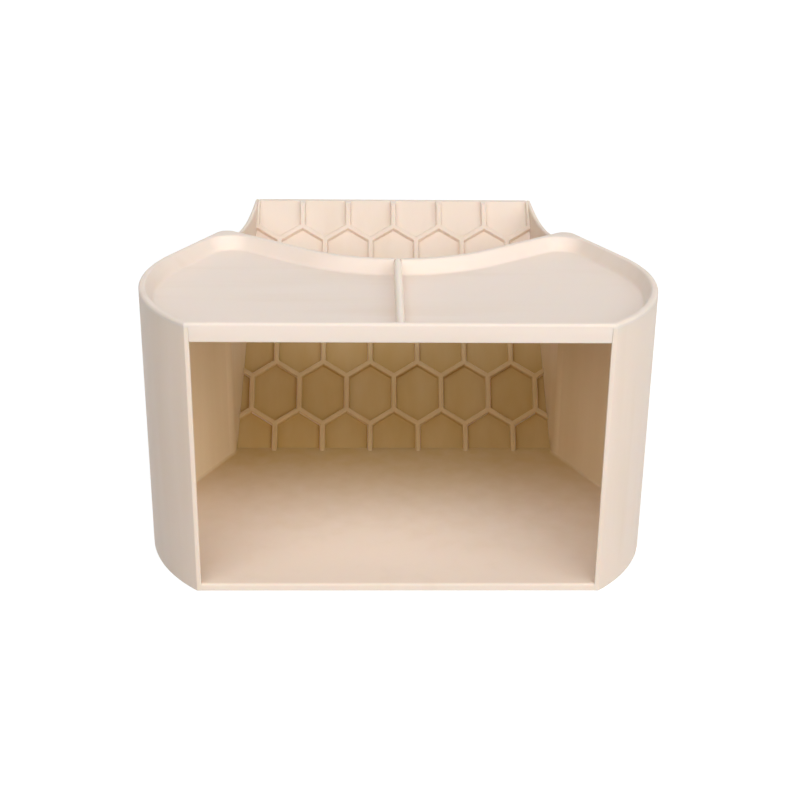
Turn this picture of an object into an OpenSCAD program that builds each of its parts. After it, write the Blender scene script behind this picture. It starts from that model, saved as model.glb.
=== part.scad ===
// Hermit crab feeding platform: a moulded shelter with an open front, a climbing
// ramp with a honeycomb grip that closes its back, and a two-part dish on top.
// X runs across the front, +Y runs back, +Z is up. The origin is on the ground,
// at the middle of the footprint.

/* [Shelter] */
// Width of the flat open front
front_w = 117; // [100:1:130]
// Width over the two bulging sides
overall_w = 152; // [140:1:175]
// Depth from the open front to the back edge
overall_d = 160; // [154:1:180]
// Height of the dish rim above the ground
rim_h = 82.6; // [70:0.2:100]
// Distance from the front to the widest place
widest_y = 39.7; // [34:0.1:46]
// Angle of the straight sides behind the widest place
side_taper = 25.9; // [22:0.1:29]
// Width of the opening in the front
opening_w = 114.6; // [97:0.2:115]
// Distance from the front to the place where the ramp walls leave the ears
ear_y = 91; // [88:0.5:94]
// Width over the ramp walls at the ears
wing_w = 114; // [110:0.5:115]
// Width over the ramp walls at the back edge
back_w = 103; // [96:0.5:108]
// Height of the ramp and its walls at the back edge
back_h = 74.6; // [66:0.2:78]
// Radius of the hollow curve along the tops of the ramp walls
swoop_r = 119; // [100:1:150]
// Thickness of the shelter's walls
wall_t = 1.6; // [1.2:0.1:2.2]
// Thickness of the shelter's floor
floor_t = 2.2; // [1.6:0.1:3]

/* [Climbing ramp] */
// Distance from the front to the foot of the ramp
foot_y = 94.5; // [90:0.5:97]
// Thickness of the ramp at the bottom of a cell
ramp_t = 1.8; // [1.4:0.1:2.4]
// Height of the honeycomb ribs over the cells
rib_h = 1.8; // [1:0.1:2.4]
// Width of a honeycomb rib
rib_w = 1.75; // [1.2:0.05:2.4]
// Distance between neighbouring cells in a row
cell_w = 16.8; // [14:0.1:20]
// Distance between neighbouring rows along the slope
row_pitch = 17.8; // [15:0.1:21]
// Rise of the slanted ribs
rib_rise = 5.35; // [4:0.05:7]
// Distance along the slope from the floor to the middle of the first zigzag
first_zigzag = 11.3; // [8:0.1:15]
// Width of the ledges that carry the ramp's edges
ledge_w = 2; // [1.5:0.1:3]
// Thickness of those ledges
ledge_t = 2.4; // [1.6:0.1:3.5]

/* [Feeding tray] */
// Depth of the dish below its rim
dish_d = 4.4; // [4.2:0.1:7]
// Thickness of the dish floor
dish_floor_t = 1.2; // [1:0.1:2.2]
// Thickness of the flange that lies on the walls
flange_t = 1.3; // [1:0.1:2]
// Thickness of the dish wall where it leaves the flange
dish_wall_t = 0.8; // [0.7:0.05:1.2]
// Distance by which the dish wall slopes in from the rim to the floor
dish_draw = 2.2; // [1.4:0.1:2.4]
// Thickness of the front rim
front_rim_t = 1.8; // [1.4:0.1:2.6]
// Thickness of the back rim
back_rim_t = 2.2; // [1.6:0.1:2.8]
// Distance from the front to the middle of the back rim
tray_mid_y = 60.3; // [54:0.1:66]
// Radius of the hollow in the middle of the back rim
hollow_r = 45; // [38:0.5:55]
// Angle at which the back rim runs out to the ears
ear_slope = 38; // [34:0.5:40]
// Radius of the ears' outer corners
ear_r = 4; // [2.8:0.1:5]
// Radius of the dish corners inside the ears
dish_corner_r = 9; // [6:0.5:11]

/* [Divider] */
// Width of the strip between the two dishes
divider_w = 2.2; // [1.6:0.1:3]
// Depth of the notches that hold its ends
notch_d = 0.8; // [0.5:0.05:1]
// Depth of the notches below the dish floor
notch_sink = 0.2; // [0.1:0.05:0.4]

/* [Fits] */
// Gap between the tray and the shelter's walls
tray_clear = 0.2; // [0.1:0.05:0.4]
// Gap at the ramp's side edges
ramp_clear = 0.2; // [0.1:0.05:0.4]
// Gap at each face of the divider's ends
divider_clear = 0.1; // [0.05:0.05:0.3]

/* [Hidden] */
$fn = 96;
arc_step = 3;
eps = 0.01;
cream = [0.93, 0.86, 0.79];

// The bulge is an arc through the front corner, upright at the widest place
bulge_out = (overall_w - front_w) / 2;
bulge_r = (bulge_out * bulge_out + widest_y * widest_y) / (2 * bulge_out);
bulge_x = overall_w / 2 - bulge_r;

// A line is [nx, ny, d]: the points whose distance along the normal is d
function line_through(normal, point) = [normal.x, normal.y, normal * point];
function moved(line, by) = [line[0], line[1], line[2] + by];
function meet(a, b) = let (k = a[0] * b[1] - a[1] * b[0])
    [(a[2] * b[1] - a[1] * b[2]) / k, (a[0] * b[2] - a[2] * b[0]) / k];

// Points on an arc, ends included, in n steps or in steps of about arc_step
function swing(centre, r, from, to, n) =
    [for (i = [0 : n]) let (a = from + (to - from) * i / n) centre + r * [cos(a), sin(a)]];
function arc(centre, r, from, to) = swing(centre, r, from, to, ceil(abs(to - from) / arc_step));

// An outline of the right half, with its mirror image added
function flip(points) = [for (i = [len(points) - 1 : -1 : 0]) [-points[i].x, points[i].y]];
function both(half) = concat(half, flip(half));

side_normal = [cos(side_taper), sin(side_taper)];
side_line = line_through(side_normal, [bulge_x, widest_y] + bulge_r * side_normal);
wing_angle = atan((wing_w - back_w) / 2 / (overall_d - ear_y));
wing_line = line_through([cos(wing_angle), sin(wing_angle)], [wing_w / 2, ear_y]);

wall_top = rim_h - flange_t;
rim_w = wall_t + tray_clear + dish_wall_t - dish_draw * flange_t / dish_d;
dish_z = rim_h - dish_d;
tray_z = dish_z - dish_floor_t;

// The top of a ramp wall is one hollow arc, in (y, z), from the ear to the back edge
swoop_from = [ear_y, wall_top];
swoop_to = [overall_d, back_h];
swoop_span = swoop_to - swoop_from;
swoop_lift = sqrt(swoop_r * swoop_r - swoop_span * swoop_span / 4);
swoop_centre = (swoop_from + swoop_to) / 2
    + swoop_lift / norm(swoop_span) * [-swoop_span.y, swoop_span.x];

// The ramp leans so that its back face meets the back edge at the top of the walls
ramp_rise = back_h - floor_t;
ramp_run = overall_d - foot_y;
ramp_lean = acos(ramp_t / norm([ramp_run, ramp_rise])) - atan(ramp_rise / ramp_run);
ramp_len = ramp_rise / cos(ramp_lean);
slant = atan(2 * rib_rise / cell_w);

back_normal = [-sin(ear_slope), cos(ear_slope)];
hollow_y = tray_mid_y + hollow_r;
// The hollow's arc stops this far from the middle, and its mirror image takes over
hollow_step = arc_step / 2;

// The opening's sides run straight back until they meet the inner faces of the walls
opening_depth = 2 * wall_t;

notch_len = notch_d + dish_draw + divider_w / 2;
divider_y = front_rim_t - notch_d + divider_clear;
divider_len = tray_mid_y - back_rim_t + notch_d - divider_clear - divider_y;

// Plan of the bulging front part: the bulge's arc from the front line, the straight
// side, the ear's round corner, and the back rim that ends in the hollow
function bulge_half(inset, front, back, corner_r) = let (
    side = moved(side_line, -inset),
    hollow = [0, hollow_y],
    rear = line_through(back_normal, hollow - back_normal * (hollow_r + back)),
    corner = meet(moved(side, -corner_r), moved(rear, -corner_r)),
    r = bulge_r - inset
) concat(
    swing([bulge_x, widest_y], r, -asin((widest_y - front) / r), side_taper, 24),
    swing(corner, corner_r, side_taper, 90 + ear_slope, 32),
    swing(hollow, hollow_r + back, ear_slope - 90, hollow_step - 90, 16)
);

module bulge_plan(inset, front, back, corner_r) {
    polygon(both(bulge_half(inset, front, back, corner_r)));
}

// Outline of the dish at a height: it draws in evenly on its way down to the floor
function dish_ring(z) = let (in = dish_draw * (rim_h - z) / dish_d)
    [for (p = both(bulge_half(rim_w + in, front_rim_t + in, back_rim_t + in, dish_corner_r - in)))
        [p.x, p.y, z]];

// Plan of the whole shelter, drawn in from its outer face by inset
module footprint(inset, front) {
    wing = moved(wing_line, -inset);
    bulge_plan(inset, front, inset, ear_r - inset);
    polygon(both([meet(wing, [0, 1, widest_y]), meet(wing, [0, 1, overall_d + inset])]));
}

// The opening in the front plane, narrower than the cave behind it
module front_opening(gap) {
    translate([gap - opening_w / 2, -wall_t]) square([opening_w - 2 * gap, opening_depth + wall_t]);
}

// Puts a shape drawn in the ramp's own plane (x across, y up the slope, z out of its
// face) at the ramp's place
module on_ramp() {
    translate([0, foot_y, floor_t]) rotate([90 - ramp_lean, 0, 0]) children();
}

// Half width between the ramp walls, at a distance up the slope
function ramp_side(t, inset) =
    meet(moved(wing_line, -wall_t - inset), [0, 1, foot_y + t * sin(ramp_lean)]).x;

// One honeycomb cell, drawn in by half a rib on every side
module cell() {
    half_w = (cell_w - rib_w) / 2;
    tip = (row_pitch + rib_rise - rib_w / cos(slant)) / 2;
    shoulder = tip - half_w * tan(slant);
    half = [[half_w, -shoulder], [half_w, shoulder], [0, tip]];
    polygon(concat(half, [for (p = half) -p]));
}

// Cells over the whole slope, every other row moved by half a cell
module honeycomb() {
    rows = ceil((ramp_len - first_zigzag) / row_pitch);
    columns = ceil(wing_w / cell_w / 2);
    for (row = [0 : rows], column = [-columns : columns]) {
        translate([(column + (row % 2) / 2) * cell_w, first_zigzag + (row - 0.5) * row_pitch])
            cell();
    }
}

// Floor and walls in one tub, open at the front and behind the ramp
module shelter_shell() {
    color(cream) translate([0, -overall_d / 2, 0]) {
        difference() {
            linear_extrude(wall_top) footprint(0, 0);
            translate([0, 0, floor_t]) linear_extrude(rim_h) {
                footprint(wall_t, opening_depth / 2);
                front_opening(0);
            }
            wing_cut();
        }
        ramp_ledges();
    }
}

// Takes the ramp walls down behind the ears in one hollow curve
module wing_cut() {
    from = swoop_from - swoop_centre;
    to = swoop_to - swoop_centre;
    curve = arc(swoop_centre, swoop_r, atan2(from.y, from.x), atan2(to.y, to.x));
    far = overall_d + wall_t;
    translate([-overall_w, 0, 0]) rotate([90, 0, 90]) linear_extrude(2 * overall_w)
        polygon(concat(curve, [[far, back_h], [far, 2 * rim_h], [ear_y, 2 * rim_h]]));
}

// Ledges along the ramp walls, under the ramp's two edges
module ramp_ledges() {
    reach = ramp_len - 2 * ramp_t;
    grip = wall_t / 2;
    half = [
        [ramp_side(0, ledge_w), 0],
        [ramp_side(0, -grip), 0],
        [ramp_side(reach, -grip), reach],
        [ramp_side(reach, ledge_w), reach],
    ];
    intersection() {
        on_ramp() translate([0, 0, -ramp_t - ledge_t]) linear_extrude(ledge_t) {
            polygon(half);
            polygon(flip(half));
        }
        translate([-overall_w, 0, floor_t - eps]) cube([2 * overall_w, overall_d, rim_h]);
    }
}

// Sloping panel with a raised honeycomb, cut level at its foot and its top
module climbing_ramp() {
    over = 4 * ramp_t;
    foot = [ramp_side(-over, ramp_clear), -over];
    top = [ramp_side(ramp_len + over, ramp_clear), ramp_len + over];
    color(cream) translate([0, -overall_d / 2, 0]) intersection() {
        on_ramp() difference() {
            translate([0, 0, -ramp_t]) linear_extrude(ramp_t + rib_h)
                polygon(both([foot, top]));
            linear_extrude(2 * rib_h) honeycomb();
        }
        translate([-overall_w, 0, floor_t]) cube([2 * overall_w, 2 * overall_d, ramp_rise]);
    }
}

// Shallow dish with a flange that lies on the walls, notched for the divider
module feeding_tray() {
    pan_inset = wall_t + tray_clear;
    color(cream) translate([0, -overall_d / 2, 0]) difference() {
        union() {
            translate([0, 0, wall_top]) linear_extrude(flange_t) bulge_plan(0, 0, 0, ear_r);
            translate([0, 0, tray_z]) linear_extrude(wall_top - tray_z) intersection() {
                union() {
                    footprint(pan_inset, opening_depth / 2);
                    front_opening(tray_clear);
                }
                bulge_plan(0, 0, 0, ear_r);
            }
        }
        dish_hollow();
        notch(front_rim_t - notch_d);
        notch(tray_mid_y - back_rim_t + notch_d - notch_len);
    }
}

// A pocket in the dish wall for one end of the divider, a little deeper than the floor
module notch(from) {
    w = divider_w + 2 * divider_clear;
    translate([-w / 2, from, dish_z - notch_sink]) cube([w, notch_len, rim_h]);
}

// The room in the dish, as a skin between its outlines at the floor and above the rim
module dish_hollow() {
    low = dish_ring(dish_z);
    high = dish_ring(rim_h + flange_t);
    n = len(low);
    bottom = [for (i = [0 : n - 1]) i];
    top = [for (i = [n - 1 : -1 : 0]) n + i];
    skin = [for (i = [0 : n - 1]) let (j = (i + 1) % n) each [[i, n + i, n + j], [i, n + j, j]]];
    polyhedron(concat(low, high), concat([bottom, top], skin));
}

// Strip with a round top that stands in the tray's two notches
module tray_divider() {
    round_z = dish_d - divider_w / 2;
    color(cream)
    translate([0, divider_y + divider_len - overall_d / 2, dish_z])
        rotate([90, 0, 0]) linear_extrude(divider_len) {
            translate([-divider_w / 2, 0]) square([divider_w, round_z]);
            translate([0, round_z]) circle(d = divider_w);
        }
}

shelter_shell();
climbing_ramp();
feeding_tray();
tray_divider();
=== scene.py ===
"""Hermit crab feeding platform: a moulded shelter, its honeycomb ramp, and the divided dish on top."""

import bmesh
import bpy
import numpy as np
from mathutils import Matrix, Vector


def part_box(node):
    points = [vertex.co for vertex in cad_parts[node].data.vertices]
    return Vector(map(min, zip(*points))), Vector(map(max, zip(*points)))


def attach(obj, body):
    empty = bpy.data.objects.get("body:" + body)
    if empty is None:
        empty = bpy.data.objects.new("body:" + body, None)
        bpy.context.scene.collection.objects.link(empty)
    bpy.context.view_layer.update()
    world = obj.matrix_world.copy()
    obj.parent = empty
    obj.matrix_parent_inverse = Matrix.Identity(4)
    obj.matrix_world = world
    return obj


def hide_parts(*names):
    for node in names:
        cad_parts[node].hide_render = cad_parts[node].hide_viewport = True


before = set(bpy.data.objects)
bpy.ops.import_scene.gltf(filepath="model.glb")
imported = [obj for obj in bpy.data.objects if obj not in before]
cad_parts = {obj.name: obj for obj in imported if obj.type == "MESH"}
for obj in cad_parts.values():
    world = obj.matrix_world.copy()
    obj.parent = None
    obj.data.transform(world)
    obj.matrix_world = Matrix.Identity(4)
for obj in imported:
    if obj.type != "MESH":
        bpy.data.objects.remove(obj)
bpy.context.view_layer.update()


# Shelter: the tub of the platform, with a flat floor, two bulging side walls that end in ears, and the two
# walls beside the ramp. It is one thin injection moulding in satin cream plastic and stands loose on the
# ground.
mm = 0.001
shell_low, shell_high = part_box("shelter_shell")
front_y = shell_low.y
back_y = shell_high.y
wall_top = shell_high.z
ramp_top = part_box("climbing_ramp")[1].z
half_w = shell_high.x
front_half = 58.5 * mm
opening_half = 57.3 * mm
widest_y = front_y + 39.7 * mm
side_taper = np.radians(25.9)
ear_y = front_y + 91 * mm
ear_slope = np.radians(38)
ear_r = 4 * mm
wing_half = 57 * mm
back_half = 51.5 * mm
swoop_r = 119 * mm
wall_t = 1.6 * mm
floor_t = 2.2 * mm
hollow_r = 45 * mm
hollow = np.array([0, front_y + 60.3 * mm + hollow_r])
ramp_foot_y = front_y + 94.5 * mm
ramp_lean = np.radians(41.08)
ramp_t = 1.8 * mm
nose_r = 0.14 * mm
nose_steps = 5
bulge_steps = 56
ear_steps = 14
bend_r = 5 * mm
wing_edge_r = 0.7 * mm
floor_edge_r = 0.7 * mm
cove_r = 0.9 * mm
ledge_w = 2 * mm
ledge_t = 2.4 * mm
tiny = 0.02 * mm

bulge_out = half_w - front_half
bulge_r = (bulge_out**2 + (widest_y - front_y) ** 2) / (2 * bulge_out)
bulge = np.array([half_w - bulge_r, widest_y])
rear_turn = np.pi / 2 + ear_slope
wing_turn = np.arctan((wing_half - back_half) / (back_y - ear_y))


def line(turn, through):
    """A straight line as (nx, ny, d): every point whose distance along the normal at that angle is d."""
    normal = np.array([np.cos(turn), np.sin(turn)])
    return np.array([*normal, normal @ through])


def meet(one, other):
    """The point where two lines cross."""
    return np.linalg.solve([one[:2], other[:2]], [one[2], other[2]])


def arc(centre, radius, start, end, count):
    """Points on an arc: the centre plus the radius times (cos, sin) of evenly spaced angles."""
    turn = np.linspace(start, end, count)
    return np.asarray(centre) + radius * np.stack([np.cos(turn), np.sin(turn)], 1)


def eased(x):
    """Zero up to 0, one from 1 on, and the smooth cubic 3x^2 - 2x^3 between."""
    x = np.clip(x, 0, 1)
    return x * x * (3 - 2 * x)


side_line = line(side_taper, bulge + bulge_r * np.array([np.cos(side_taper), np.sin(side_taper)]))
rear_line = line(rear_turn, hollow - hollow_r * np.array([np.cos(rear_turn), np.sin(rear_turn)]))
wing_line = line(wing_turn, np.array([wing_half, ear_y]))
ear = meet(side_line - [0, 0, ear_r], rear_line - [0, 0, ear_r])
wing_way = np.array([-wing_line[1], wing_line[0]])
ear_gap = wing_line[2] + bend_r - wing_line[:2] @ ear
bend = ear + ear_gap * wing_line[:2] + np.sqrt((ear_r + bend_r) ** 2 - ear_gap**2) * wing_way
ear_turn = np.arctan2(*(bend - ear)[::-1])


def wall_face(inset, front_nose, first_turn):
    """Plan of the right wall's face, drawn in by inset: the nose at the front, the bulge's arc, the ear's
    round corner, the bend, and the straight ramp wall up to its rounded back end. Faces match point for
    point."""
    wing = wing_line - [0, 0, inset]
    tail_side = 1 if inset == 0 else -1
    tail = meet(wing - [0, 0, tail_side * nose_r], line(np.pi / 2, [0, back_y - nose_r]))
    tail_start = wing_turn if inset == 0 else wing_turn + np.pi
    bend_arc = arc(bend, bend_r + inset, ear_turn + np.pi, wing_turn + np.pi, 10)[1:]
    tail_arc = arc(tail, nose_r, tail_start, np.pi / 2, nose_steps)
    share = np.linspace(0, 1, 46)[1:-1, None]
    return np.concatenate([
        front_nose,
        arc(bulge, bulge_r - inset, first_turn, side_taper, bulge_steps),
        arc(ear, ear_r - inset, side_taper, ear_turn, ear_steps),
        bend_arc,
        bend_arc[-1] * (1 - share) + tail_arc[0] * share,
        tail_arc,
    ])


nose_turn = -np.arcsin((widest_y - front_y - nose_r) / (bulge_r - nose_r))
outer_nose = bulge + (bulge_r - nose_r) * np.array([np.cos(nose_turn), np.sin(nose_turn)])
inner_nose = np.array([opening_half + nose_r, front_y + nose_r])
inner_turn = -np.arccos((opening_half - bulge[0]) / (bulge_r - wall_t))
outer_face = wall_face(0, arc(outer_nose, nose_r, -np.pi / 2, nose_turn, nose_steps + 1)[:-1], nose_turn)
inner_face = wall_face(wall_t, arc(inner_nose, nose_r, 1.5 * np.pi, np.pi, nose_steps), inner_turn)
along_y = (outer_face[:, 1] + inner_face[:, 1]) / 2
on_wing = np.arange(len(along_y)) >= nose_steps + bulge_steps + ear_steps
swoop_span = np.array([back_y - ear_y, ramp_top - wall_top])
swoop_lift = np.sqrt(swoop_r**2 - swoop_span @ swoop_span / 4) / np.linalg.norm(swoop_span)
swoop_y = (ear_y + back_y) / 2 - swoop_lift * swoop_span[1]
swoop_z = (wall_top + ramp_top) / 2 + swoop_lift * swoop_span[0]
swoop = swoop_z - np.sqrt(swoop_r**2 - (np.maximum(along_y, ear_y) - swoop_y) ** 2)
top_z = np.where(on_wing & (along_y > ear_y), swoop, wall_top)
top_r = wing_edge_r * eased((along_y - ear_y + 1.5 * mm) / (4 * mm)) * on_wing


def grid_faces(rows, columns):
    """Quads between neighbouring rows and columns of a grid, whose last column joins its first."""
    row = np.arange(rows - 1)[:, None] * columns
    column = np.arange(columns)
    after = (column + 1) % columns
    quads = [row + column, row + after, row + columns + after, row + columns + column]
    return np.stack(quads, -1).reshape(-1, 4)


def skin(points):
    """A closed surface through rings of points (rings, points, 3): quads between the rings and a flat face
    over the first and the last ring."""
    rings, count = points.shape[:2]
    caps = [list(range(count))[::-1], list(range((rings - 1) * count, rings * count))]
    return points.reshape(-1, 3), grid_faces(rings, count).tolist() + caps


def mesh_of(name, *shapes, merge=0.002 * mm):
    """One mesh of several closed shapes, with doubled points merged and the faces turned outwards."""
    built = bmesh.new()
    for points, faces in shapes:
        part = bpy.data.meshes.new(name)
        part.from_pydata(points.tolist(), [], faces)
        built.from_mesh(part)
        bpy.data.meshes.remove(part)
    bmesh.ops.remove_doubles(built, verts=built.verts, dist=merge)
    bmesh.ops.dissolve_degenerate(built, edges=built.edges, dist=merge)
    bmesh.ops.recalc_face_normals(built, faces=built.faces)
    mesh = bpy.data.meshes.new(name)
    built.to_mesh(mesh)
    built.free()
    return mesh


def piece_of(name, mesh):
    """An object for the mesh, at the origin, smooth except where two faces meet at a clear edge."""
    mesh.polygons.foreach_set("use_smooth", np.ones(len(mesh.polygons), bool))
    mesh.set_sharp_from_angle(angle=np.radians(32))
    piece = bpy.data.objects.new(name, mesh)
    bpy.context.scene.collection.objects.link(piece)
    return piece


def joined(first, second, how):
    """The mesh that is left when two closed meshes are united, cut or kept where they overlap."""
    one = bpy.data.objects.new("one", first)
    two = bpy.data.objects.new("two", second)
    bpy.context.scene.collection.objects.link(one)
    bpy.context.scene.collection.objects.link(two)
    work = one.modifiers.new("work", "BOOLEAN")
    work.operation = how
    work.solver = "EXACT"
    work.object = two
    result = bpy.data.meshes.new_from_object(one.evaluated_get(bpy.context.evaluated_depsgraph_get()))
    for done in (one, two):
        bpy.data.objects.remove(done)
    return result


def across(share, part=slice(None)):
    """Plan points between the wall's outer face (share 0) and inner face (share 1), or past it."""
    return outer_face[part] + (inner_face - outer_face)[part] * np.asarray(share)[..., None]


def wall_shape():
    """The right wall as a profile carried along its plan: up the outer face, over the top edge in two
    quarter rounds of radius top_r, and down the inner face."""
    turn = np.linspace(0, np.pi / 2, 6)[:, None]
    rise = np.concatenate([[0, 0.3 * mm], np.linspace(8 * mm, 64 * mm, 4)])[:, None] + 0 * top_z
    under = (top_z - top_r - 0.4 * mm)[None]
    share = top_r * (1 - np.cos(turn)) / wall_t
    height = top_z - top_r * (1 - np.sin(turn))
    outer_z = np.concatenate([rise, under, height])
    outer_share = np.concatenate([0 * rise, 0 * under, share])
    height_all = np.concatenate([outer_z, outer_z[::-1]])
    share_all = np.concatenate([outer_share, 1 - outer_share[::-1]])
    plan = across(share_all)
    rings = np.concatenate([plan, height_all[..., None]], -1)
    return skin(rings.transpose(1, 0, 2))


def mirrored(shape):
    """The same shape on the other side of the middle plane."""
    points, faces = shape
    return points * [-1, 1, 1], [face[::-1] for face in faces]


def floor_shape():
    """The floor plate as rings drawn in from its edge: up the front and back edges, over their rounded
    corners, and along each wall down a small cove of radius cove. The walls hide the rings' outer part."""
    turn = np.linspace(0, np.pi / 2, 6)
    y = along_y[nose_steps:-nose_steps]
    from_front = np.clip((y - front_y - 1 * mm) / (4 * mm), 0, 1)
    cove = cove_r * from_front * np.clip((ramp_foot_y - y) / (3 * mm), 0, 1)
    step_in = np.array([0.1, 0.3, 0.3, 0.3, 0.3, 0.3, 0.3, 1.4]) * mm
    edge_in = np.concatenate([[0, 0], floor_edge_r * (1 - np.cos(turn)), floor_edge_r + step_in])
    edge_z = np.concatenate([
        [0, 0.3 * mm],
        floor_t - floor_edge_r * (1 - np.sin(turn)),
        np.full(8, floor_t),
    ])
    flat = np.zeros((8, 1))
    into = np.concatenate([flat, flat[:1], 1 - np.cos(turn)[:, None], flat[:1] + 1]) * cove
    lift = np.concatenate([flat, flat[:1] + 1, 1 - np.sin(turn)[:, None], flat[:1]]) * cove
    depth = np.where(np.arange(16) < 9, wall_t / 2, wall_t)[:, None] + into
    depth[-1] += 1 * mm
    plan = across(depth / wall_t, slice(nose_steps, -nose_steps))
    limit = edge_in[:, None] + tiny
    plan[..., 1] = np.clip(plan[..., 1], front_y + limit, back_y - limit)
    front_x = opening_half + 0.75 * (wall_t - depth[:, :1])
    back_x = back_half - depth[:, -1:]
    front_end = np.stack([front_x, front_y + limit], -1)
    back_end = np.stack([back_x, back_y - limit], -1)
    plan = np.concatenate([front_end, plan, back_end], 1)
    height = edge_z[:, None] + tiny + np.pad(lift, ((0, 0), (1, 1)), mode="edge")
    right = np.concatenate([plan, height[..., None]], -1)
    left = right[:, ::-1] * [-1, 1, 1]
    return skin(np.concatenate([right, left], 1))


def ledge_shape():
    """A sloping bar under the ramp's right edge: a profile of four corners carried up the slope."""
    up = np.array([np.sin(ramp_lean), np.cos(ramp_lean)])
    out = np.array([-np.cos(ramp_lean), np.sin(ramp_lean)])
    foot = np.array([ramp_foot_y, floor_t])
    reach = np.linspace(-2 * mm, (ramp_top - floor_t) / np.cos(ramp_lean) - 2 * ramp_t, 2)[:, None, None]
    sunk = np.array([-ramp_t, -ramp_t, -ramp_t - ledge_t, -ramp_t - ledge_t])[:, None] - tiny
    place = foot + reach * up + sunk * out
    wall_x = wing_half - (place[..., 0] - ear_y) * np.tan(wing_turn)
    x = wall_x - np.array([wall_t + ledge_w, wall_t / 2, wall_t / 2, wall_t + ledge_w])
    return skin(np.stack([x, place[..., 0], np.maximum(place[..., 1], floor_t / 2)], -1))


walls = mesh_of("walls", wall_shape(), mirrored(wall_shape()))
base = mesh_of("base", floor_shape())
ledges = mesh_of("ledges", ledge_shape(), mirrored(ledge_shape()))
tub = joined(joined(walls, base, "UNION"), ledges, "UNION")
shelter = piece_of("shelter", tub)


class Wire:
    """A value in a material's node tree. Sums, differences and products with another value or a number add a
    Math node, and node() adds any other one."""

    def __init__(self, tree, socket=None):
        self.tree = tree
        self.socket = socket

    def node(self, kind, settings, sockets, output=0):
        """Adds a node of that type, sets it, then fills its sockets with values or other wires."""
        made = self.tree.nodes.new(kind)
        for name, value in settings.items():
            setattr(made, name, value)
        for name, value in sockets.items():
            if isinstance(value, Wire):
                self.tree.links.new(value.socket, made.inputs[name])
            else:
                made.inputs[name].default_value = value
        return Wire(self.tree, made.outputs[output] if made.outputs else None)

    def maths(self, how, one, two):
        return self.node("ShaderNodeMath", {"operation": how}, {0: one, 1: two})

    def __add__(self, other):
        return self.maths("ADD", self, other)

    def __radd__(self, other):
        return self.maths("ADD", other, self)

    def __sub__(self, other):
        return self.maths("SUBTRACT", self, other)

    def __rsub__(self, other):
        return self.maths("SUBTRACT", other, self)

    def __mul__(self, other):
        return self.maths("MULTIPLY", self, other)

    def __rmul__(self, other):
        return self.maths("MULTIPLY", other, self)


def facing_cave(mesh, share=None):
    """Marks each corner of a mesh with how squarely it faces the middle of the cave: three times the cosine
    between its normal and the way to the middle, at most 1. It fades out under the tray's flange and, behind
    the ears, where daylight falls in. A share takes the places and gives a further factor. The mark, kept as
    the inside attribute, is where the plastic's base colour gets painted shade and a painted warm bounce of
    light in the cave."""
    point = np.empty(3 * len(mesh.vertices))
    index = np.empty(len(mesh.loops), int)
    normal = np.empty(3 * len(mesh.loops))
    mesh.vertices.foreach_get("co", point)
    mesh.loops.foreach_get("vertex_index", index)
    mesh.corner_normals.foreach_get("vector", normal)
    place = point.reshape(-1, 3)[index]
    toward = cave_middle - place
    toward /= np.linalg.norm(toward, axis=1)[:, None]
    facing = np.clip(3 * (normal.reshape(-1, 3) * toward).sum(1), 0, 1)
    lit_from = np.where(place[:, 1] < ear_y, wall_top, daylight_z)
    facing *= eased((lit_from - place[:, 2]) / daylight_fade)
    if share:
        facing *= share(place)
    mark = mesh.attributes.new("inside", "FLOAT", "CORNER")
    mark.data.foreach_set("value", facing)


def shelter_painted_shade(place):
    """How much painted shade a place of the shelter gets: less on the walls, more on the floor, between on
    the cove.
    """
    on_floor = np.clip((floor_t + cove_r - place[:, 2]) / cove_r, 0, 1)
    return on_floor * floor_shade_share + (1 - on_floor) * wall_shade_share


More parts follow.
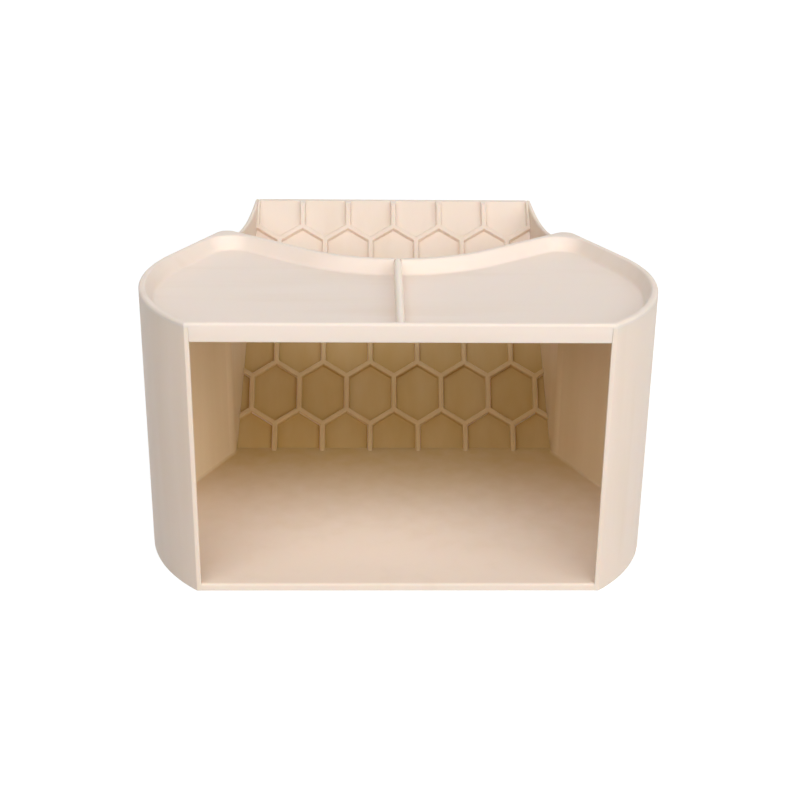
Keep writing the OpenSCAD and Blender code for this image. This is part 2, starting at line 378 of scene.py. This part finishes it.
def cream_plastic(name, pale, shade_and_drift_colour, grain, gloss):
    """Satin cream plastic, pale outside, with painted light in its base colour in the cave: a painted warm
    bounce on the walls and painted shade growing far in. On top come a slow drift of tone, faint flow
    streaks stretched along one axis by grain, and a fine moulded surface in the bump and the roughness."""
    material = bpy.data.materials.new(name)
    material.use_nodes = True
    tree = material.node_tree
    tree.nodes.clear()
    sheet = Wire(tree)
    place = sheet.node("ShaderNodeTexCoord", {}, {}, "Object")
    stretched = sheet.node("ShaderNodeMapping", {}, {"Vector": place, "Scale": grain})
    depth = sheet.node("ShaderNodeSeparateXYZ", {}, {"Vector": place}, "Y")
    height = sheet.node("ShaderNodeSeparateXYZ", {}, {"Vector": place}, "Z")
    deep_in = sheet.node("ShaderNodeMapRange", {"interpolation_type": "SMOOTHSTEP"}, {
        "Value": depth, "From Min": cave_near_y, "From Max": cave_deep_y})
    past_ramp = sheet.node("ShaderNodeMapRange", {}, {
        "Value": depth - height * ramp_run, "From Min": ramp_face_y, "From Max": ramp_face_y + ramp_t})
    over_floor = sheet.node("ShaderNodeMapRange", {}, {
        "Value": height, "From Min": floor_t, "From Max": floor_t + cove_r})
    just_in = sheet.node("ShaderNodeMapRange", {"interpolation_type": "SMOOTHSTEP"}, {
        "Value": depth, "From Min": front_y, "From Max": cave_warm_y})
    # Painted light in the cave: a warm bounce painted on its walls from the front inwards, and painted shade     that grows far in; the inside attribute says where.
    inside = sheet.node("ShaderNodeAttribute", {"attribute_name": "inside"}, {}, "Fac") * (1 - past_ramp)
    painted_bounce_mask = 1 / wall_shade_share * inside * over_floor * just_in
    shaded = inside * deep_in * deep_in

    def noise(where, scale, detail):
        return sheet.node("ShaderNodeTexNoise", {}, {"Vector": where, "Scale": scale, "Detail": detail})

    drift = noise(place, 22, 2)
    streak = noise(stretched, 150, 3)
    fine = noise(place, 2600, 2)
    slow = noise(place, 55, 1)
    painted_bounce_tone = sheet.node("ShaderNodeMix", {"data_type": "RGBA"}, {
        "Factor": painted_bounce_mask, "A": pale, "B": painted_bounce_warm}, "Result")
    tone = sheet.node("ShaderNodeMix", {"data_type": "RGBA"}, {
        "Factor": shaded + 0.2 * drift + 0.25 * streak - 0.225, "A": painted_bounce_tone, "B": shade_and_drift_colour}, "Result")
    bump = sheet.node("ShaderNodeBump", {}, {
        "Strength": 0.12, "Distance": 0.2 * mm, "Height": fine + 3 * slow})
    shader = sheet.node("ShaderNodeBsdfPrincipled", {}, {
        "Base Color": tone,
        "Roughness": gloss + 0.1 * streak - 0.1 * drift + 0.06 * fine,
        "Normal": bump,
        "IOR": 1.49,
        "Specular IOR Level": 0.18,
        "Subsurface Weight": 0.25,
        "Subsurface Radius": (1.0, 0.55, 0.28),
        "Subsurface Scale": 1.6 * mm,
    })
    sheet.node("ShaderNodeOutputMaterial", {}, {"Surface": shader})
    return material


cave_middle = np.array([0, front_y + 45 * mm, 42 * mm])
cave_warm_y = front_y + 35 * mm
cave_near_y = front_y + 8 * mm
cave_deep_y = front_y + 95 * mm
ramp_run = np.tan(ramp_lean)
ramp_face_y = ramp_foot_y - floor_t * ramp_run + 0.3 * mm
daylight_z = 60 * mm
daylight_fade = 30 * mm
# Painted shade in the cave: the floor's and the walls' shares of it.
floor_shade_share = 0.86
wall_shade_share = 0.4
cream_pale = (0.86, 0.725, 0.615, 1)
# Painted light: a warm tone painted on the cave's walls in place of the warm light bounced inside it.
painted_bounce_warm = (0.87, 0.705, 0.5, 1)
# Painted shade: the brown that the cave's surfaces turn to far in, which the slow drift and the streaks of
# tone also lean to.
shade_and_drift_brown = (0.55, 0.355, 0.11, 1)
facing_cave(shelter.data, shelter_painted_shade)
shelter.data.materials.clear()
shelter.data.materials.append(cream_plastic("shelter_plastic", cream_pale, shade_and_drift_brown, (1, 1, 0.08), 0.42))
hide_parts("shelter_shell")
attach(shelter, "shelter")


# Climbing ramp: the sloping panel that closes the cave, with raised ribs that make a honeycomb for small
# claws. A moulding of the same cream plastic, it stands on the floor and lies on the ledges of the two ramp
# walls.
rib_h = 1.8 * mm
rib_w = 1.75 * mm
cell_w = 16.8 * mm
row_pitch = 17.8 * mm
rib_rise = 5.35 * mm
first_zigzag = 11.3 * mm
ramp_clear = 0.04 * mm
rib_edge_r = 0.42 * mm
rib_foot_r = 0.22 * mm
rib_draft = 0.12 * mm
ramp_edge = 1.6 * mm
# Painted shade on the honeycomb in the cave: how fast the painted shade at the ribs' feet fades, the ribs'
# and the cells' shares of it, and the brown it is painted with.
rib_shade = 1.6 * mm
rib_shade_share = 0.7
cell_shade_share = 0.9
ramp_shade_and_drift_brown = (0.52, 0.33, 0.11, 1)
slant = np.arctan(2 * rib_rise / cell_w)
ramp_up = np.array([0, np.sin(ramp_lean), np.cos(ramp_lean)])
ramp_out = np.array([0, -np.cos(ramp_lean), np.sin(ramp_lean)])
ramp_foot = np.array([0, ramp_foot_y, floor_t])


def cell_ring(inset, corner_r):
    """A hexagon drawn in from the ribs' middle lines by inset, its corners rounded: each corner of the
    smaller hexagon plus corner_r times (cos, sin) of the angles between the normals of its two sides."""
    drawn = inset + corner_r
    half = cell_w / 2 - drawn
    tip = (row_pitch + rib_rise) / 2 - drawn / np.cos(slant)
    shoulder = tip - half * np.tan(slant)
    corner = np.array([
        [half, shoulder], [0, tip], [-half, shoulder],
        [-half, -shoulder], [0, -tip], [half, -shoulder],
    ])
    normal = np.array([
        0, np.pi / 2 - slant, np.pi / 2 + slant,
        np.pi, 1.5 * np.pi - slant, 1.5 * np.pi + slant,
    ])
    after = np.append(normal[1:], 2 * np.pi)
    turn = normal[:, None] + (after - normal)[:, None] * np.linspace(0, 1, 5)
    round_off = corner_r * np.stack([np.cos(turn), np.sin(turn)], -1)
    return (corner[:, None] + round_off).reshape(-1, 2)


def honeycomb_shape():
    """Every cell of the honeycomb as rings from the middle of its ribs inwards: the flat rib, its rounded
    edge, the drafted side, the fillet and the cell's floor. Cells repeat in rows, every other row half a
    cell over."""
    turn = np.linspace(0, np.pi / 2, 5)
    half_rib = rib_w / 2
    inset = np.concatenate([
        [0, half_rib - rib_edge_r - 0.05 * mm],
        half_rib - rib_edge_r * (1 - np.sin(turn)),
        half_rib + rib_draft + rib_foot_r * (1 - np.cos(turn)),
        half_rib + rib_draft + rib_foot_r + np.array([0.3, 1, 2, 3.4]) * mm,
    ])
    height = np.concatenate([
        [rib_h, rib_h],
        rib_h - rib_edge_r * (1 - np.cos(turn)),
        rib_foot_r * (1 - np.sin(turn)),
        np.zeros(4),
    ])
    corner_r = np.concatenate([[0], np.linspace(0.15, 1, 15) * mm])
    rings = np.stack([cell_ring(i, r) for i, r in zip(inset, corner_r)])
    rows = np.arange(-1, 7)
    columns = np.arange(-4, 5)
    x = ((columns[None] + (rows[:, None] % 2) / 2) * cell_w).ravel()
    y = np.repeat(first_zigzag + (rows - 0.5) * row_pitch, len(columns))
    flat = rings[None] + np.stack([x, y], -1)[:, None, None]
    count = rings.shape[1]
    lifted = np.broadcast_to(height[None, :, None], flat.shape[:3])
    points = ramp_foot + flat[..., :1] * [1, 0, 0] + flat[..., 1:] * ramp_up + lifted[..., None] * ramp_out
    one = grid_faces(len(inset), count)
    size = len(inset) * count
    start = (np.arange(len(x)) * size)[:, None, None]
    faces = (one[None] + start).reshape(-1, 4).tolist()
    floors = (np.arange(size - count, size)[None] + start[:, 0]).tolist()
    return points.reshape(-1, 3), faces + floors


def thickened(shape):
    """Closes an open sheet into a slab: its rim is drawn back through the ramp and filled there."""
    sheet = bmesh.new()
    part = bpy.data.meshes.new("honeycomb")
    part.from_pydata(shape[0].tolist(), [], shape[1])
    sheet.from_mesh(part)
    bpy.data.meshes.remove(part)
    bmesh.ops.remove_doubles(sheet, verts=sheet.verts, dist=0.005 * mm)
    rim = [edge for edge in sheet.edges if edge.is_boundary]
    drawn = bmesh.ops.extrude_edge_only(sheet, edges=rim)["geom"]
    moved = [item for item in drawn if isinstance(item, bmesh.types.BMVert)]
    bmesh.ops.translate(sheet, verts=moved, vec=(-4 * (ramp_t + rib_h) * ramp_out).tolist())
    bmesh.ops.holes_fill(sheet, edges=[edge for edge in sheet.edges if edge.is_boundary])
    bmesh.ops.recalc_face_normals(sheet, faces=sheet.faces)
    mesh = bpy.data.meshes.new("honeycomb")
    sheet.to_mesh(mesh)
    sheet.free()
    return mesh


def panel_shape():
    """The room that the ramp fills, as its side profile carried from one ramp wall to the other: level at
    the foot and the top, flat behind, with the top edge rounded over so that the ribs run out."""
    up = ramp_up[1:]
    out = ramp_out[1:]
    foot = ramp_foot[1:]

    def level(sunk, z):
        start = foot + sunk * out
        return start + up * (z - start[1]) / up[1]

    edge = level(rib_h, ramp_top)
    bend_turn = np.pi / 2 - ramp_lean
    edge_r = ramp_edge / np.tan(bend_turn / 2)
    centre = edge - ramp_edge * up - edge_r * out
    face_turn = np.arctan2(out[1], out[0])
    rounded = arc(centre, edge_r, np.pi / 2, face_turn, 8)
    low_front = level(rib_h, floor_t) + tiny * out
    profile = np.concatenate([rounded, [low_front, level(-ramp_t, floor_t), level(-ramp_t, ramp_top)]])
    x = wing_half - (profile[:, 0] - ear_y) * np.tan(wing_turn) - wall_t / np.cos(wing_turn) - ramp_clear
    sides = np.array([1, -1])[:, None] * x
    return skin(np.stack([sides, *np.broadcast_arrays(profile[:, 0], profile[:, 1], sides)[:2]], -1))


def honeycomb_painted_shade(place):
    """How much painted shade a place in the honeycomb gets: least on the ribs, painted as if they catch more
    light, most along their feet, where the ribs' shade is painted, and between in the middle of a cell. The
    distance to a cell's sides is the least of its distances to the six lines, in the nearest cell."""
    local = place - ramp_foot
    raised = np.clip(local @ ramp_out / rib_h, 0, 1)
    steps = (local @ ramp_up - first_zigzag) / row_pitch + 0.5
    row = np.floor(steps)[:, None] + [0, 1]
    in_row = (local[:, :1] / cell_w - row % 2 / 2 + 0.5) % 1 - 0.5
    off_x = abs(in_row) * cell_w
    off_y = abs(steps[:, None] - row) * row_pitch
    slanted = ((row_pitch + rib_rise) / 2 - off_y) * np.cos(slant) - off_x * np.sin(slant)
    from_rib = np.minimum(cell_w / 2 - off_x, slanted).max(1) - rib_w / 2
    foot = np.exp(-np.maximum(from_rib, 0) / rib_shade)
    return raised * rib_shade_share + (1 - raised) * (cell_shade_share + (1 - cell_shade_share) * foot)


ramp_mesh = joined(thickened(honeycomb_shape()), mesh_of("panel", panel_shape()), "INTERSECT")
ramp = piece_of("ramp", ramp_mesh)
facing_cave(ramp.data, honeycomb_painted_shade)
ramp.data.materials.clear()
ramp.data.materials.append(cream_plastic("ramp_plastic", cream_pale, ramp_shade_and_drift_brown, (1, 0.3, 0.3), 0.36))
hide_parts("climbing_ramp")
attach(ramp, "shelter")


# Feeding tray: the shallow dish that roofs the cave, with a rounded rim and a bar over the opening. It is a
# loose moulding in the same plastic: its flange lies on the walls, and it lifts off to be washed.
rim_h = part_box("feeding_tray")[1].z
dish_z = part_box("tray_divider")[0].z
tray_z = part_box("feeding_tray")[0].z
tray_clear = 0.2 * mm
rim_w = 1.95 * mm
front_rim_t = 1.8 * mm
back_rim_t = 2.2 * mm
dish_corner_r = 9 * mm
pan_corner_r = 6 * mm
notch_half = 1.13 * mm
notch_d = 0.8 * mm
rim_outer_r = 0.8 * mm
rim_inner_r = 0.8 * mm
pan_edge_r = 0.4 * mm
dish_cove_r = 1.2 * mm
dish_draw = 2.2 * mm
# Painted light: the tray is the shell's plastic, painted a paler cream to stand in for more light on it.
tray_cream_painted_lighter = (0.875, 0.755, 0.665, 1)


def tray_rings(inset, front, back, corner_r, nose, side_x, z):
    """Rings of the tray, one for each entry of the arrays: drawn in by inset at the bulging sides, by front
    and back at the straight front and the hollow back, with the divider's notches held at their own depth.
    The right half runs along the front, round the nose, the bulge, the ear's corner and the hollow, and the
    left half mirrors it."""
    column = [np.asarray(value)[:, None] for value in (inset, front, back, corner_r, nose, side_x)]
    inset, front, back, corner_r, nose, side_x = column

    def swung(centre_x, centre_y, radius, start, end, number):
        turn = start + (end - start) * np.linspace(0, 1, number)
        return np.stack([centre_x + radius * np.cos(turn), centre_y + radius * np.sin(turn)], -1)

    def point(x, y):
        return np.stack(np.broadcast_arrays(x + 0 * inset, y + 0 * inset), -1)

    radius = bulge_r - inset
    line_y = front_y + front
    notch_front = front_y + np.minimum(front, front_rim_t - notch_d)
    natural = -np.arcsin((widest_y - line_y - nose) / (radius - nose))
    natural_x = bulge[0] + (radius - nose) * np.cos(natural)
    squared = natural_x + nose < side_x
    nose_x = np.where(squared, side_x - nose, natural_x)
    nose_end = np.where(squared, 0, natural)
    side_cos = np.clip((side_x - bulge[0]) / radius, -1, 1)
    first_turn = np.where(squared, -np.arccos(side_cos), natural)
    middle = np.linspace(0, 1, 12)[1:-1]
    front_run = np.stack(np.broadcast_arrays(notch_half + (nose_x - notch_half) * middle, line_y), -1)

    side_d = side_line[2] - inset - corner_r
    rear_d = rear_line[2] - back - corner_r
    cross = side_line[0] * rear_line[1] - side_line[1] * rear_line[0]
    corner_x = (side_d * rear_line[1] - side_line[1] * rear_d) / cross
    corner_y = (side_line[0] * rear_d - rear_line[0] * side_d) / cross
    reach = hollow_r + back
    notch_reach = hollow_r + np.minimum(back, back_rim_t - notch_d)
    notch_turn = np.arcsin(notch_half / reach) - np.pi / 2
    notch_y = hollow[1] - np.sqrt(notch_reach**2 - notch_half**2)
    right = np.concatenate([
        point(notch_half, notch_front),
        point(notch_half, line_y),
        front_run,
        swung(nose_x, line_y + nose, nose, -np.pi / 2, nose_end, 6),
        swung(bulge[0], bulge[1], radius, first_turn, side_taper, 64),
        swung(corner_x, corner_y, corner_r, side_taper, rear_turn, 14),
        swung(hollow[0], hollow[1], reach, rear_turn - np.pi, notch_turn, 30),
        point(notch_half, notch_y),
    ], 1)
    whole = np.concatenate([right, right[:, ::-1] * [-1, 1]], 1)
    height = np.broadcast_to(np.asarray(z)[:, None, None], (*whole.shape[:2], 1))
    return np.concatenate([whole, height], -1)


def tray_shape():
    """The tray's profile as rings: under the pan, up its side, out under the flange, round the rim's outer
    edge, over the rim, down the sloping dish wall and along a cove to the dish floor."""
    turn = np.linspace(0, np.pi / 2, 6)
    sine = np.sin(turn)
    cosine = np.cos(turn)
    pan_inset = wall_t + tray_clear
    lean = np.arctan(dish_draw / (rim_h - dish_z))
    ease = (1 - np.sin(lean)) / np.cos(lean)
    over = np.linspace(np.pi / 2, lean, 6)
    under = np.linspace(np.pi + lean, 1.5 * np.pi, 8)
    pan = {
        "inset": np.concatenate([[pan_inset + 2 * mm], pan_inset + pan_edge_r * (1 - sine), [pan_inset]]),
        "front": np.concatenate([[2 * mm], pan_edge_r * (1 - sine), [0]]),
        "z": np.concatenate([[tray_z], tray_z + pan_edge_r * (1 - cosine), [wall_top]]),
    }
    pan["back"] = pan["front"]
    pan["corner_r"] = pan_corner_r - pan["front"]
    pan["nose"] = np.full(8, 0.05 * mm)
    pan["side_x"] = opening_half - 0.03 * mm - pan["front"]
    lip = np.concatenate([[0, 0], rim_outer_r * (1 - cosine)])
    rim = {
        "inset": lip,
        "front": lip,
        "back": lip,
        "z": np.concatenate([[wall_top, rim_h - rim_outer_r - 0.1 * mm], rim_h - rim_outer_r * (1 - sine)]),
        "corner_r": ear_r - lip,
        "nose": np.full(8, nose_r),
        "side_x": np.zeros(8),
    }
    down = np.concatenate([
        [-rim_inner_r * ease - 0.05 * mm],
        rim_inner_r * (np.cos(over) - ease),
        dish_draw + dish_cove_r * (ease + np.cos(under)),
        [dish_draw + dish_cove_r * ease + 0.5 * mm],
    ])
    dish = {
        "inset": rim_w + down,
        "front": front_rim_t + down,
        "back": back_rim_t + down,
        "z": np.concatenate([
            [rim_h],
            rim_h - rim_inner_r * (1 - np.sin(over)),
            dish_z + dish_cove_r * (1 + np.sin(under)),
            [dish_z],
        ]),
        "corner_r": dish_corner_r - down,
        "nose": np.full(16, 2 * mm),
        "side_x": np.zeros(16),
    }
    profile = {key: np.concatenate([pan[key], rim[key], dish[key]]) for key in pan}
    return skin(tray_rings(**profile))


tray = piece_of("tray", mesh_of("tray", tray_shape()))
facing_cave(tray.data)
tray.data.materials.append(cream_plastic("tray_plastic", tray_cream_painted_lighter, shade_and_drift_brown, (0.08, 1, 1), 0.45))
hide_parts("feeding_tray")
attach(tray, "tray")


# Divider: the strip with a round top that parts the dish into a food side and a water side. A loose cream
# moulding, it stands on the dish floor with its ends in the notches of the front and back rims.
strip_low, strip_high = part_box("tray_divider")
strip_end_r = 0.15 * mm
# Painted light: the divider is the shell's plastic, painted a much paler cream to stand in for more light on
# it.
strip_cream_painted_lighter = (0.98, 0.86, 0.75, 1)


def strip_shape():
    """A round-topped profile carried from front to back, drawn in a little at both ends."""
    half = (strip_high.x - strip_low.x) / 2
    turn = np.linspace(0, np.pi, 17)
    round_z = strip_high.z - half
    x = np.concatenate([[half, half], half * np.cos(turn), [-half, -half]])
    z = np.concatenate([[strip_low.z, strip_low.z + 0.2 * mm], round_z + half * np.sin(turn),
                        [strip_low.z + 0.2 * mm, strip_low.z]])
    drawn = np.array([strip_end_r, 0, 0, strip_end_r])[:, None]
    y = np.array([0, strip_end_r, -strip_end_r, 0])[:, None] + np.array(
        [strip_low.y, strip_low.y, strip_high.y, strip_high.y])[:, None]
    rings = np.broadcast_arrays(x * (1 - drawn / half), y, z - drawn * (z > round_z))
    return skin(np.stack(rings, -1))


divider = piece_of("divider", mesh_of("divider", strip_shape()))
facing_cave(divider.data)
divider.data.materials.append(cream_plastic("divider_plastic", strip_cream_painted_lighter, shade_and_drift_brown, (1, 0.08, 1), 0.42))
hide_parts("tray_divider")
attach(divider, "divider")


# Studio: a plain white floor that runs out of view, two large soft lights in front on both sides, a weaker
# one behind, and a weak white surround. The floor shows white to the camera and still takes the object's
# shadow.
floor_size = 6.0


def white_floor():
    """The floor's paint, which shows a little whiter to the camera the farther it lies from the object."""
    material = bpy.data.materials.new("white_floor")
    material.use_nodes = True
    tree = material.node_tree
    tree.nodes.clear()
    sheet = Wire(tree)
    camera_ray = sheet.node("ShaderNodeLightPath", {}, {}, "Is Camera Ray")
    glossy_ray = sheet.node("ShaderNodeLightPath", {}, {}, "Is Glossy Ray")
    through_ray = sheet.node("ShaderNodeLightPath", {}, {}, "Is Transmission Ray")
    seen = camera_ray + glossy_ray + through_ray
    place = sheet.node("ShaderNodeTexCoord", {}, {}, "Object")
    reach = sheet.node("ShaderNodeVectorMath", {"operation": "LENGTH"}, {0: place}, "Value")
    paint = sheet.node("ShaderNodeMapRange", {"interpolation_type": "SMOOTHSTEP"}, {
        "Value": reach, "From Min": 0.4, "From Max": floor_size / 4, "To Min": 0.75, "To Max": 1})
    shader = sheet.node("ShaderNodeBsdfPrincipled", {}, {
        "Base Color": (0.45, 0.45, 0.45, 1),
        "Roughness": 1,
        "Specular IOR Level": 0,
        "Emission Color": paint * seen,
        "Emission Strength": 1,
    })
    sheet.node("ShaderNodeOutputMaterial", {}, {"Surface": shader})
    return material


half_floor = floor_size / 2
floor_points = np.array([[-1, -1, 0], [1, -1, 0], [1, 1, 0], [-1, 1, 0]]) * half_floor - [0, 0, tiny]
floor_mesh = bpy.data.meshes.new("studio_floor")
floor_mesh.from_pydata(floor_points.tolist(), [], [[0, 1, 2, 3]])
studio_floor = bpy.data.objects.new("studio_floor", floor_mesh)
bpy.context.scene.collection.objects.link(studio_floor)
studio_floor.data.materials.append(white_floor())


def soft_light(name, place, power):
    """A large square area light at a place, turned to face the object."""
    lamp = bpy.data.lights.new(name, "AREA")
    lamp.size = lamp_size
    lamp.energy = power
    stand = bpy.data.objects.new(name, lamp)
    bpy.context.scene.collection.objects.link(stand)
    forward = aim - place
    forward = forward / np.linalg.norm(forward)
    right = np.cross(forward, [0, 0, 1])
    right = right / np.linalg.norm(right)
    turn = np.eye(4)
    turn[:3, 0] = right
    turn[:3, 1] = np.cross(right, forward)
    turn[:3, 2] = -forward
    turn[:3, 3] = place
    stand.matrix_world = turn.T.tolist()


def around(azimuth, elevation):
    """A place at the lamps' distance, turned to the right from the front by azimuth, raised by elevation."""
    azimuth, elevation = np.radians([azimuth, elevation])
    level = np.array([np.sin(azimuth), -np.cos(azimuth), 0]) * np.cos(elevation)
    return lamp_reach * (level + [0, 0, np.sin(elevation)]) + aim


aim = np.array([0, 0, 0.05])
lamp_size = 2.0
lamp_reach = 2.0
soft_light("right_light", around(41, 22), 34)
soft_light("left_light", around(-25, 40), 28)
soft_light("back_light", around(180, 45), 13)

world = bpy.data.worlds.new("surround")
bpy.context.scene.world = world
world.use_nodes = True
world.node_tree.nodes.clear()
surround = Wire(world.node_tree)
seen_direct = surround.node("ShaderNodeLightPath", {}, {}, "Is Camera Ray")
seen_glossy = surround.node("ShaderNodeLightPath", {}, {}, "Is Glossy Ray")
seen_through = surround.node("ShaderNodeLightPath", {}, {}, "Is Transmission Ray")
backdrop = surround.node("ShaderNodeBackground", {}, {
    "Color": (1, 1, 1, 1), "Strength": 0.02 + 0.98 * (seen_direct + seen_glossy + seen_through)})
surround.node("ShaderNodeOutputWorld", {}, {"Surface": backdrop})


# Camera: where the photograph was taken from, in front of the opening and above the rim, looking down.
eye = np.array([-0.0080, -0.4398, 0.2116])
pitch = np.radians(22.8)
yaw = np.radians(1.255)
roll = np.radians(0.62)
ahead = np.array([np.sin(yaw) * np.cos(pitch), np.cos(yaw) * np.cos(pitch), -np.sin(pitch)])
level_right = np.array([np.cos(yaw), -np.sin(yaw), 0])
level_up = np.cross(level_right, ahead)
camera_turn = np.eye(4)
camera_turn[:3, 0] = np.cos(roll) * level_right + np.sin(roll) * level_up
camera_turn[:3, 1] = np.cos(roll) * level_up - np.sin(roll) * level_right
camera_turn[:3, 2] = -ahead
camera_turn[:3, 3] = eye
lens = bpy.data.cameras.new("camera")
lens.sensor_width = 36
lens.lens = 63.84
camera = bpy.data.objects.new("camera", lens)
bpy.context.scene.collection.objects.link(camera)
camera.matrix_world = camera_turn.T.tolist()
bpy.context.scene.camera = camera
bpy.context.scene.view_settings.view_transform = "Standard"
